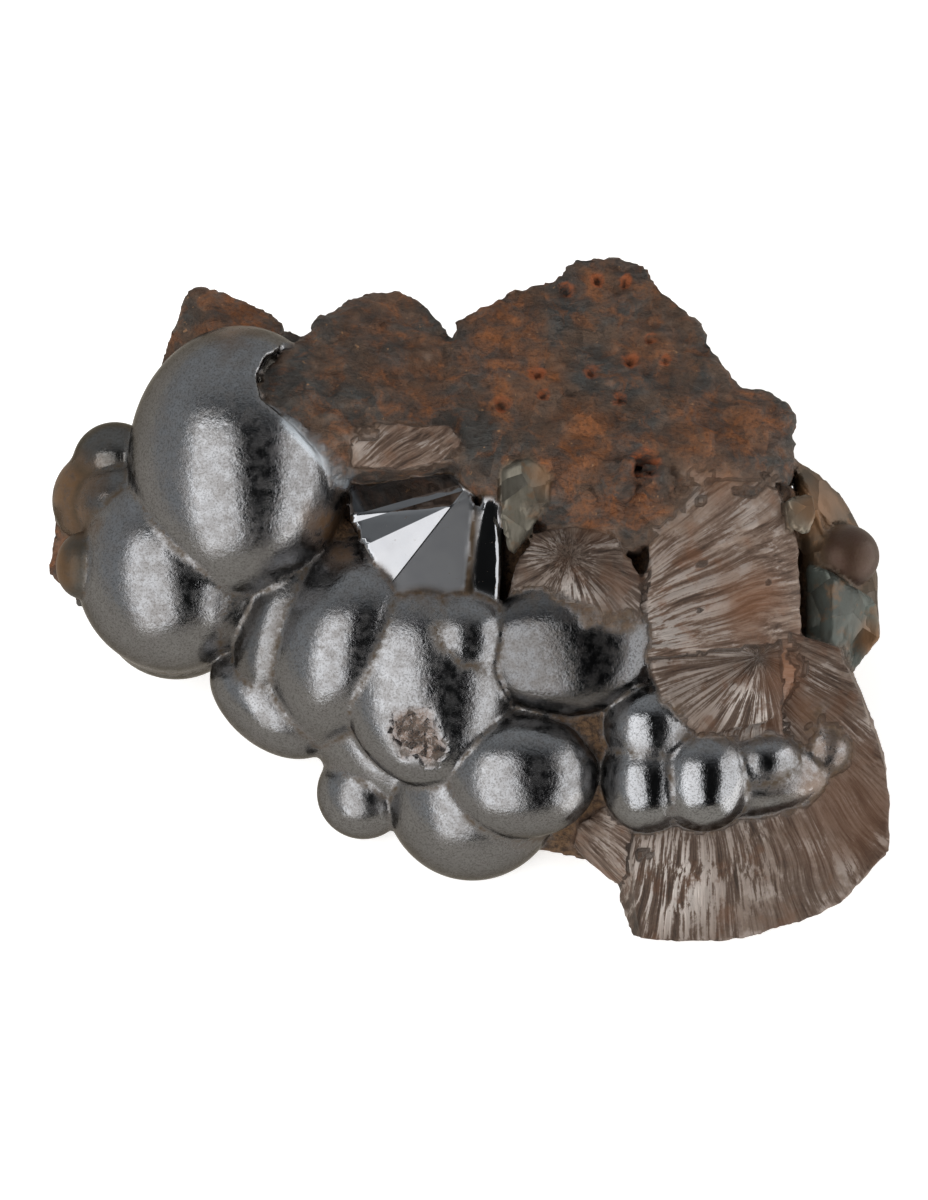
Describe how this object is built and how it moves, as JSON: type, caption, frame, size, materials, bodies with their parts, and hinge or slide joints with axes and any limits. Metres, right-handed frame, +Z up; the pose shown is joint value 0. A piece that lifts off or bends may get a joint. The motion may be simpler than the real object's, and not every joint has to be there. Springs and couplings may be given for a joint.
{
  "type": "botryoidal hematite specimen",
  "caption": "Lump of kidney ore lying on its flat back: dark mirror-bright rounded lobes below flat and fibrous breaks, with a rusty crust along the top",
  "frame": {"origin": "middle of the specimen's footprint box, on the flat face it lies on", "axes": "+Z is up, +X runs to the viewer's right along its width, and -Y points to the viewer, towards whom the good face leans"},
  "size_m": [0.1416, 0.1058, 0.0573],
  "materials": {
    "hematite": "mirror-bright dark grey lobes, matt rusty brown breaks and crust"
  },
  "bodies": {
    "root": {"kidney_ore": "hematite"}
  },
  "joints": []
}
